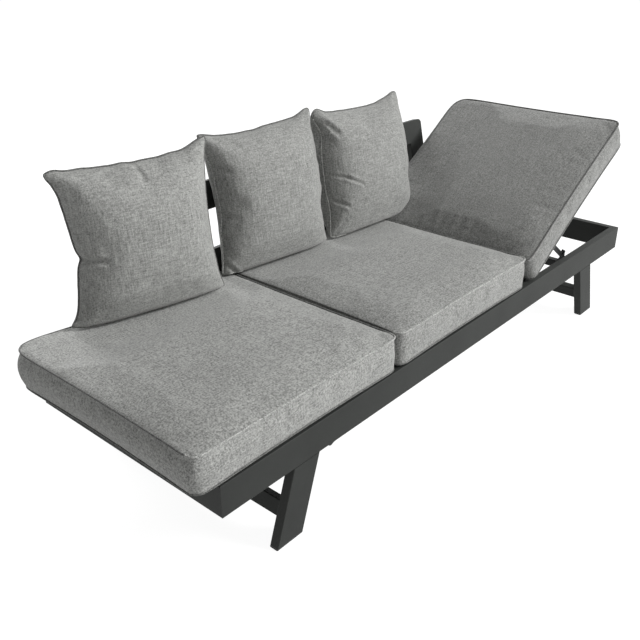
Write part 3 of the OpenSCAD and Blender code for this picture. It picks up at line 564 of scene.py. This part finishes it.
class Cushion:
    """Form of one seat cushion. free is the end, -1 or 1, that stands free, or 0. cad_swell and
    swell are how far its rear corner leans out at the top in the CAD and here, and end how
    far that end stands out and how far it bulges at half height."""

    def __init__(self, free=0, cad_swell=0.0, swell=0.0, end=(0.0, 0.0)):
        self.half_l, self.half_d = CUSHION_L / 2, CUSHION_D / 2
        self.free, self.cad_swell, self.swell = free, cad_swell, swell
        self.out, self.bulge = end

    def leant(self, x, y, z, lean):
        """y of a point once the rear leans out by lean at the free end's top."""
        share = max(0.0, self.free * x + SWELL_FROM) / (SWELL_FROM + self.half_l)
        return y + lean * max(0.0, y) / self.half_d * share * z / CUSHION_T

    def cad_rear(self, p):
        return self.leant(p.x, self.half_d, p.z, self.cad_swell)

    def pinned(self, p):
        if p.z < BASE_HOLD:
            return 1.0
        side = min(self.half_l - abs(p.x), self.half_d + min(p.y, 0.0), self.cad_rear(p) - p.y)
        on_seam = abs(p.z - TOP_SEAM) < SEAM_HOLD or abs(p.z - LOW_SEAM) < SEAM_HOLD
        return 1.0 if side < SEAM_DEPTH and on_seam else 0.0

    def unpressed(self, y):
        """1 in front of the pillows, 0 where they press the cushion flat."""
        return 1 - clamped((y - PRESSED_FROM) / PRESSED_OVER)

    def limit(self, p):
        end = self.half_l - END_ROOM
        x = max(-end, min(end, p.x))
        y = max(-self.half_d - FRONT_ROOM, min(self.cad_rear(p) + REAR_ROOM, p.y))
        return Vector((x, y, max(0.0, min(CUSHION_T + CROWN * self.unpressed(p.y), p.z))))

    def freed(self, p):
        """The free end's own form: it bulges, and its rear corner is rounder."""
        free, half_l = self.free, self.half_l
        reach = max(0.0, free * p.x / half_l) ** 4
        low = 1 - p.z / CUSHION_T
        arch = math.sin(math.pi * clamped(low))
        x = p.x + free * reach * (self.out + self.bulge * arch)
        y = p.y + (self.bulge * arch * reach if p.y > self.half_d * TOP_SHARE else 0.0)
        rear = self.leant(x, self.half_d, p.z, self.swell)
        a = 1 - (half_l + self.out - free * x) / CORNER_REACH
        b = 1 - (rear - y) / CORNER_REACH
        if free and a > 0 and b > 0:
            pull = CORNER_SHARE * (1 - low) ** 2 * (1 - max(a, b) / math.hypot(a, b))
            x -= free * pull * a * CORNER_REACH
            y -= pull * b * CORNER_REACH
        return Vector((x, y, p.z))

    def finished(self, p, seed):
        """A point of the blown-up cover with its waves, dents and tucks, and leant out."""
        x, y, z = p
        to_end, to_side = self.half_l - abs(x), self.half_d - abs(y)
        edge = max(0.0, min(to_end, to_side))
        if z > CUSHION_T * TOP_SHARE:
            z += min(1.0, edge / CALM_EDGE) * self.unpressed(y) * waves(p, seed, CUSHION_WAVES)
            z -= DENT * bell((edge - DENT_AT) / DENT_WIDTH)
        elif edge < SIDE_BAND:
            tuck = TUCK * bell((z - TOP_SEAM + DENT_AT) / DENT_WIDTH)
            x -= math.copysign(tuck * (to_end < SIDE_BAND), x)
            y -= math.copysign(tuck * (to_side < SIDE_BAND), y)
        return self.freed(Vector((x, self.leant(x, y, z, self.swell - self.cad_swell), z)))

    def seam(self, z, tree):
        ring = outline(self.half_l, self.half_d, CUSHION_R, [CUSHION_PULL] * 4)
        pts = [self.freed(Vector((p.x, self.leant(p.x, p.y, z, self.swell), z))) for p in ring]
        pts = snapped(pts, tree, PIPING_LIFT)
        return relaxed([Vector((q.x, q.y, z)) for q in pts], 4)


def seat_cushion(cad, body, to_world, material, seed, form):
    ob = local_copy(cad, "cushion_" + cad, to_world.inverted(), CUSHION_VOXEL, CUSHION_SHRINK)
    inflate(ob, form.pinned, CUSHION_PRESSURE, CUSHION_GROW, CUSHION_CAP, CUSHION_CALM, form.limit)
    for v in ob.data.vertices:
        v.co = form.finished(v.co, seed)
    subdivide(ob)
    dressed(ob, material)
    tree = surface(ob)
    pieces = [ob]
    for name, z in (("top", TOP_SEAM), ("low", LOW_SEAM)):
        pts = form.seam(z, tree)
        rim = tube(f"piping_{name}_{cad}", pts, PIPING_R * PIPING_SHARES[name], LIT_PIPING)
        # painted highlight on the front of the flat cushions' top piping, painted shade on the rest
        # and on the lower piping
        in_front = LIT_BAND - form.half_d
        piped(rim, lambda c: name == "top" and form.free < 1 and c.y < in_front)
        pieces.append(rim)
        if name == "top":
            line = snapped([Vector((q.x, q.y, z - STITCH_DROP)) for q in pts], tree, 0.0)
            pieces.append(stitches("stitches_" + cad, line, tree, STITCH_LONG, STITCH_GAP, STITCH_R))
    for q in pieces:
        place(q, to_world, body)
    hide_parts(cad)


def flat_place(x):
    return Matrix.Translation(Vector((x, CUSHION_Y, SEAT_BASE)) - ORIGIN)


TIPPED = (Matrix.Translation(HINGE + Vector((0, CUSHION_Y, 0))) @ Matrix.Rotation(-TILT, 4, "Y")
          @ Matrix.Translation((CUSHION_L / 2, 0, BASE_OVER_HINGE)))
seat_cushion("left_seat_cushion", "left_cushion", flat_place(LEFT_X), LEFT_FABRIC, 3,
             Cushion(-1, CAD_SWELL, LEFT_SWELL, LEFT_END))
seat_cushion("middle_seat_cushion", "middle_cushion", flat_place(MIDDLE_X), FLAT_FABRIC, 11,
             Cushion())
seat_cushion("right_seat_cushion", "right_section", TIPPED, TIPPED_FABRIC, 23,
             Cushion(1, 0.0, RIGHT_SWELL, RIGHT_END))


# Back pillows: x across, y up the pillow, z out of its front. Lengths are in millimetres.
# x and y are the foot's place in the frame of ORIGIN, yaw, lean and roll are in degrees.
# share: width as a share of PILLOW_W. light: factor on FABRIC_TONES, painted light or shade for that
# pillow. lit: whether the left side's piping gets the painted highlight.
# rim: draw-in of the top, left, low and right sides, as shares of PILLOW_PULL.
# left: the left seam's x at heights up the pillow. top: the top seam's y at places across.
# right: how far the right side stands out of the CAD shape at its upper half, at its upper
# and lower ear and all along. behind: how far the back half does so behind the left seam.
# creases: (from, to, depth, half width).

PILLOWS = {
    "left_pillow": dict(
        body="left_pillow", x=-683.8, y=569.5, share=1.0, yaw=-13, lean=4.5, roll=-1.5, seed=5,
        light=1.18, lit=False, rim=(0.95, 2.2, 0.25, 0.6), right=(0, 10, 11, 0), behind=0,
        left=[(-190, -217), (-182, -213), (-169, -199), (-135, -185), (-81, -175), (-40, -167),
              (-29, -161), (-19, -156), (-9, -161), (0, -165), (24, -168), (56, -171), (89, -174),
              (116, -177), (136, -179), (153, -184), (172, -190), (184, -197), (194, -202),
              (204, -204)],
        top=[(-204, 200), (-183, 202), (-152, 196), (-118, 195), (-68, 190), (-32, 189), (-14, 190),
             (10, 186), (40, 187), (77, 186), (105, 190), (144, 192), (169, 201), (195, 214),
             (208, 221), (220, 217)],
        creases=[((8, 205), (18, 148), 4, 7), ((-175, -20), (-118, -24), 7, 7),
                 ((-165, -30), (-150, -70), 2, 6), ((-200, 195), (-155, 145), 4, 14),
                 ((-185, 90), (-150, 80), 2, 10), ((-200, -190), (-170, -150), 3, 10),
                 ((205, -190), (165, -165), 2, 12), ((200, 200), (160, 165), 2.5, 12),
                 ((105, 200), (98, 165), 1.8, 8)]),
    "middle_pillow": dict(
        body="middle_pillow", x=-237.8, y=559.06, share=0.925, yaw=-6, lean=12, roll=0, seed=17,
        light=1.08, lit=True, rim=(1.15, 1.1, 0.25, 0.3), right=(20, 15, 10, 10), behind=6,
        left=[(-204, -200), (-190, -196), (-159, -186), (-119, -179), (-79, -175), (-55, -170),
              (-34, -162), (16, -163), (60, -164), (91, -163), (124, -172), (160, -182), (200, -196)],
        top=[(-196, 206), (-156, 195), (-119, 189), (-62, 186), (-12, 186), (41, 191), (100, 195),
             (140, 199), (164, 208), (183, 219), (199, 217), (212, 206)],
        creases=[((-184, -164), (-150, -202), 5, 6), ((-160, 190), (-112, 150), 2.5, 8),
                 ((-125, 185), (-90, 145), 2, 8), ((185, 205), (155, 170), 3, 9),
                 ((-172, 100), (-140, 88), 2.5, 8), ((-168, -34), (-140, -42), 2, 8),
                 ((180, -190), (150, -160), 2, 11)]),
    "right_pillow": dict(
        body="right_pillow", x=187.3, y=530.8, share=1.0, yaw=-2, lean=13, roll=0.5, seed=29,
        light=1.05, lit=True, rim=(1.05, 0.45, 0.25, 0.25), right=(12, 6, 0, 0), behind=22,
        left=[(-204, -205), (-179, -200), (-113, -187), (-80, -188), (-44, -191), (0, -189),
              (44, -186), (78, -181), (108, -174), (125, -173), (145, -178), (176, -194), (204, -198)],
        top=[(-204, 196), (-195, 201), (-176, 204), (-159, 198), (-135, 190), (-51, 185), (16, 183),
             (87, 184), (125, 191), (165, 200), (189, 209), (205, 209), (213, 199)],
        creases=[((-182, -2), (-140, -19), 3.5, 5), ((-145, -18), (-96, -46), 3.5, 5),
                 ((-190, -80), (-155, -104), 4, 6), ((-180, 150), (-152, 118), 5, 10),
                 ((-190, 120), (-150, 128), 3, 8), ((-200, -180), (-165, -150), 4, 8),
                 ((195, 200), (160, 165), 3, 10), ((-120, 60), (-60, 40), 1.2, 12)])}


# Copy of the solid, and its blowing up
PILLOW_VOXEL, PILLOW_SHRINK = 0.0055, 0.0012
PILLOW_PRESSURE, PILLOW_GROW, PILLOW_CAP, PILLOW_CALM = 4.0, 0.014, 0.024, 8

# The cover's lowest place over the solid's foot, and the heights over it of the held foot,
# of the start of the held seam, and from which the cover moves freely
FOOT_ROOM, FOOT_HOLD, SEAM_START, FOOT_FADE = 0.0002, 0.006, 0.012, 0.07

# Half width of the seam's hold, and the depth off the seam at which the waves are full
SEAM_BAND, FULL_AT = 0.006, 0.03
PILLOW_WAVES = ((0.0022, 9.0, 0), (0.0009, 24.0, 5))

# The seat's push on the foot: how far it is fuller, and turned under, up to what heights,
# and the depth off the seam at which both are full
FOOT_FULL, FOOT_FULL_H, FOOT_TURN, FOOT_TURN_H, FOOT_SIDE = 0.01, 0.1, 0.005, 0.014, 0.02

# Depths behind the seam: where the front half's move ends, and where the back half's own
# bulge has come, starts to fade and how fast
FRONT_DEPTH, BEHIND_FROM, BEHIND_TO, BEHIND_FADE = 36 * MM, 34 * MM, 60 * MM, 30 * MM

# In millimetres: from the outline in the photo in to the seam, and the reach of an ear
SEAM_ROOM, EAR_REACH, EAR_SHARE = 3.5, 30, 0.7

# The right side's bulge fades below BULGE_LOW, over BULGE_OVER, as shares of half the height
BULGE_LOW, BULGE_OVER = -0.1, 0.3

# A crease's two ridges and its reach, in half widths, and the depth off the seam at which
# it is full
RIDGE_AT, RIDGE_SHARE, CREASE_ENDS, CREASE_SIDES, CREASE_DEPTH = 1.7, 0.45, 3, 5, 20 * MM

# The lower seam: the part of the rim that lies on the seat, and the search for its cover
FOOT_SHARE, FOOT_ENDS, SEARCH_FROM, SEARCH = 0.85, 0.012, 0.15, 0.2
PILLOW_PIPING, PILLOW_LIFT = 0.9, 0.0014
# Where the lit pillows' left piping gets its painted highlight, in shares of half the width and
# height; the rest has painted shade
LIT_LEFT, LIT_BELOW = 0.7, 0.85


def traced(curve, at):
    """Smooth value of a line of (place, value) points, held beyond its ends."""
    if at <= curve[0][0]:
        return curve[0][1]
    for i, ((a, p), (b, q)) in enumerate(zip(curve, curve[1:])):
        if at <= b:
            before, after = curve[max(i - 1, 0)], curve[min(i + 2, len(curve) - 1)]
            m = (q - before[1]) / (b - before[0]) * (b - a)
            n = (after[1] - p) / (after[0] - a) * (b - a)
            t = (at - a) / (b - a)
            return (p * (1 + 2 * t) * (1 - t) ** 2 + m * t * (1 - t) ** 2
                    + q * t * t * (3 - 2 * t) + n * t * t * (t - 1))
    return curve[-1][1]


def drawn_in(at, half, pull):
    """Draw-in of a CAD pillow's side at a place along it."""
    s = clamped((half - at) / (2 * half))
    return pull * 4 * s * (1 - s)


def creased(x, y, crease):
    """Height of a fold at a point: a furrow with a soft ridge on both sides."""
    (ax, ay), (bx, by), depth, half = crease
    lx, ly = bx - ax, by - ay
    long = math.hypot(lx, ly)
    t = ((x - ax) * lx + (y - ay) * ly) / (long * long)
    away = abs((x - ax) * ly - (y - ay) * lx) / long
    end = max(0.0, -t, t - 1) * long
    if end >= CREASE_ENDS * half or away >= CREASE_SIDES * half:
        return 0.0
    ridge = RIDGE_SHARE * bell((away - RIDGE_AT * half) / half)
    return depth * bell(end / half) * (ridge - bell(away / half))


class Pillow:
    """Form of one back pillow, in its own frame."""

    def __init__(self, cad, look):
        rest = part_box(cad)[0].z
        foot = Vector((look["x"] * MM, look["y"] * MM, rest - PILLOW_SINK)) - ORIGIN
        self.look = look
        self.floor = rest + FOOT_ROOM
        self.half_w, self.half_h = PILLOW_W * look["share"] / 2, PILLOW_H / 2
        self.pulls = [PILLOW_PULL * share for share in look["rim"]]
        self.to_world = (Matrix.Translation(foot)
                         @ Matrix.Rotation(math.radians(look["yaw"]), 4, "Z")
                         @ Matrix.Rotation(math.radians(-look["lean"]), 4, "X")
                         @ Matrix.Rotation(math.radians(look["roll"]), 4, "Y")
                         @ Matrix.Translation((0, 0, PILLOW_H / 2))
                         @ Matrix.Rotation(math.radians(90), 4, "X"))
        self.to_local = self.to_world.inverted()
        self.ahead = self.to_world.to_3x3() @ Vector((0, 0, 1))
        self.ahead.z = 0
        self.ahead.normalize()

    def over_seat(self, p):
        return (self.to_world @ p).z - self.floor

    def pinned(self, p):
        z = (self.to_world @ p).z
        on_seam = abs(p.z) < SEAM_BAND and z > self.floor + SEAM_START
        return 1.0 if on_seam or z < self.floor + FOOT_HOLD else 0.0

    def limit(self, p):
        q = self.to_world @ p
        if q.z < self.floor:
            q.z = self.floor
            p = self.to_local @ q
        return p

    def fade(self, p):
        high = clamped(self.over_seat(p) / FOOT_FADE)
        return high * high * (3 - 2 * high)

    def shaped(self, p):
        """Moves a point so that the seams and folds lie as in the photograph."""
        look = self.look
        x, y = p.x / MM, p.y / MM
        half_w, half_h, r = self.half_w / MM, self.half_h / MM, PILLOW_R / MM
        pull_top, pull_left = self.pulls[0] / MM, self.pulls[1] / MM
        u, v = (max(-1.0, min(1.0, q)) for q in (x / half_w, y / half_h))
        dx = dy = dz = 0.0
        if x < 0:
            # the seam moves with the front half, while the back half behind it stays full
            front = clamped(1 + p.z / FRONT_DEPTH)
            behind = clamped(-p.z / BEHIND_FROM) * clamped(1 + (p.z + BEHIND_TO) / BEHIND_FADE)
            cad_left = drawn_in(y, half_h - r, pull_left) - half_w
            share = min(1.0, x / cad_left) ** 4
            dx += front * share * (traced(look["left"], y) + SEAM_ROOM - cad_left)
            dx -= behind * look["behind"] * share * (1 - v ** 4)
        else:
            bulge, top_ear, low_ear, out = look["right"]
            dx += u * (bulge * clamped(1 + (v - BULGE_LOW) / BULGE_OVER) * (1 - v * v) + out)
            for ear, corner in ((top_ear, half_h), (low_ear, -half_h)):
                dx += ear * bell(math.hypot(x - half_w, y - corner) / EAR_REACH) * EAR_SHARE
        if y > 0:
            cad_top = half_h - drawn_in(x, half_w - r, pull_top)
            dy += min(1.0, y / cad_top) ** 4 * (traced(look["top"], x) - SEAM_ROOM - cad_top)
        if p.z > 0:
            folds = sum(creased(x, y, crease) for crease in look["creases"])
            dz += clamped(p.z / CREASE_DEPTH) * folds
        return Vector((p.x + dx * MM, p.y + dy * MM, p.z + dz * MM))

    def finished(self, p):
        """A point of the blown-up cover, shaped and with its waves, on its settled foot."""
        full = min(1.0, abs(p.z) / FULL_AT)
        p = self.shaped(p)
        p.z += full * waves(p, self.look["seed"], PILLOW_WAVES) * (1 if p.z > 0 else -1)
        p = self.limit(p)
        # the weight settles into a fuller foot, whose cover turns under on the seat
        high = self.over_seat(p)
        side = max(-1.0, min(1.0, p.z / FOOT_SIDE))
        fuller = max(0.0, 1 - high / FOOT_FULL_H) * max(0.0, 1 - (p.x / self.half_w) ** 2)
        turned = max(0.0, 1 - high / FOOT_TURN_H)
        p.z += FOOT_FULL * fuller * max(0.0, side) - FOOT_TURN * turned * turned * side
        return p

    def at_foot(self, p, tree):
        """The lower seam lies along the front of the foot, on the seat."""
        if p.y > -self.half_h * FOOT_SHARE or abs(p.x) > self.half_w - FOOT_ENDS:
            return p
        q = self.to_world @ p
        q.z = self.floor + PIPING_R
        start = self.to_local @ (q + self.ahead * SEARCH_FROM)
        hit = tree.ray_cast(start, self.to_local.to_3x3() @ -self.ahead, SEARCH)[0]
        return p if hit is None else hit

    def on_seat(self, p):
        """Lifts a point of the piping's line so that the piping lies on the seat."""
        q = self.to_world @ p
        low = self.floor + PIPING_R - q.z
        return p if low < 0 else self.to_local @ (q + Vector((0, 0, low)))

    def seam(self, tree):
        ring = outline(self.half_w, self.half_h, PILLOW_R, self.pulls, steps=90)
        pts = snapped([self.shaped(Vector((p.x, p.y, 0))) for p in ring], tree, PILLOW_LIFT)
        pts = relaxed([self.at_foot(q, tree) for q in pts], 3)
        return [self.on_seat(q) for q in pts]

    # whether a piping face gets the painted highlight rather than painted shade
    def lit(self, p):
        return self.look["lit"] and p.x < -self.half_w * LIT_LEFT and p.y < self.half_h * LIT_BELOW


def pillow(cad, look):
    form = Pillow(cad, look)
    turn = tuple(form.to_local.to_euler("XYZ"))
    # each pillow's copy of the fabric has its own light factor: painted light or shade
    material = fabric("fabric_" + cad, turn, 0.72, 190.0, 0.9, look["light"])
    ob = local_copy(cad, "pillow_" + cad, form.to_local, PILLOW_VOXEL, PILLOW_SHRINK)
    inflate(ob, form.pinned, PILLOW_PRESSURE, PILLOW_GROW, PILLOW_CAP, PILLOW_CALM,
            form.limit, form.fade)
    subdivide(ob)
    for v in ob.data.vertices:
        v.co = form.finished(v.co)
    ob.data.update()
    dressed(ob, material)
    rim = tube("piping_" + cad, form.seam(surface(ob)), PIPING_R * PILLOW_PIPING, LIT_PIPING)
    # painted highlight on the lit left piping, painted shade on the rest
    piped(rim, form.lit)
    for q in (ob, rim):
        place(q, form.to_world, look["body"])
    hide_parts(cad)


for cad, look in PILLOWS.items():
    pillow(cad, look)


# Camera, from the fit to the photograph's straight edges

CAMERA_AT = (-1.72623, -1.3232, 1.26387)
RIGHT = Vector((0.65176, -0.758425, 0.000193))
DOWN = Vector((-0.330979, -0.284659, -0.899679))
AHEAD = Vector((0.682394, 0.586311, -0.436553))
cam_data = bpy.data.cameras.new("camera")
cam_data.sensor_width = 36
cam_data.lens = 44.0294
cam_data.shift_x, cam_data.shift_y = -0.01895, -0.02336
cam_data.clip_end = 50
cam = bpy.data.objects.new("camera", cam_data)
SCENE.collection.objects.link(cam)
axes = Matrix((RIGHT, -DOWN, -AHEAD)).transposed().to_4x4()
cam.matrix_world = Matrix.Translation(CAMERA_AT) @ axes
SCENE.camera = cam


# Floor, lamps and world. What the camera and reflections see is brighter than what lights
# the sofa, so that the background is white.

FLOOR_REACH, FLOOR_TONE = 5, 0.8
FLOOR_GLOW, GLOW_SHARE = 1.25, 0.75
SKY_LIGHT, SKY_SEEN = 0.29, 0.74


def seen_ray(tree):
    """1 for a ray of the camera or a reflection."""
    rays = node(tree, "ShaderNodeLightPath")
    return math_node(tree, "MAXIMUM", rays.outputs["Is Camera Ray"], rays.outputs["Is Glossy Ray"])


def floor_material():
    m = bpy.data.materials.new("floor_white")
    m.use_nodes = True
    tree = m.node_tree
    tree.nodes.clear()
    out = node(tree, "ShaderNodeOutputMaterial")
    glow = node(tree, "ShaderNodeEmission")
    glow.inputs["Strength"].default_value = FLOOR_GLOW
    matt = node(tree, "ShaderNodeBsdfDiffuse")
    matt.inputs["Color"].default_value = (FLOOR_TONE, FLOOR_TONE, FLOOR_TONE, 1)
    mix = node(tree, "ShaderNodeMixShader")
    link(tree, math_node(tree, "MULTIPLY", seen_ray(tree), GLOW_SHARE), mix.inputs[0])
    link(tree, matt.outputs[0], mix.inputs[1])
    link(tree, glow.outputs[0], mix.inputs[2])
    link(tree, mix.outputs[0], out.inputs[0])
    return m


def floor():
    corners = [(x * FLOOR_REACH, y * FLOOR_REACH, 0) for x, y in ((-1, -1), (1, -1), (1, 1), (-1, 1))]
    me = bpy.data.meshes.new("floor")
    me.from_pydata(corners, [], [(0, 1, 2, 3)])
    me.materials.append(floor_material())
    ob = bpy.data.objects.new("floor", me)
    SCENE.collection.objects.link(ob)


def lamp(name, place_at, target, size, power):
    data = bpy.data.lights.new(name, "AREA")
    data.shape = "DISK"
    data.size = size
    data.energy = power
    ob = bpy.data.objects.new(name, data)
    SCENE.collection.objects.link(ob)
    ob.location = place_at
    aim = Vector(target) - Vector(place_at)
    ob.rotation_euler = aim.to_track_quat("-Z", "Y").to_euler()


def sky():
    world = bpy.data.worlds.new("world")
    SCENE.world = world
    world.use_nodes = True
    tree = world.node_tree
    tree.nodes.clear()
    out = node(tree, "ShaderNodeOutputWorld")
    back = node(tree, "ShaderNodeBackground")
    back.inputs["Color"].default_value = (1, 1, 1, 1)
    strength = math_node(tree, "MULTIPLY_ADD", seen_ray(tree), SKY_SEEN)
    strength.node.inputs[2].default_value = SKY_LIGHT
    link(tree, strength, back.inputs["Strength"])
    link(tree, back.outputs[0], out.inputs[0])


floor()
lamp("key", (4.3, -5.85, 5.1), (0, 0, 0.3), 3.6, 830)
lamp("back", (0.9, 4.6, 2.3), (0, 0, 0.4), 2.4, 175)
sky()
SCENE.view_settings.view_transform = "Standard"
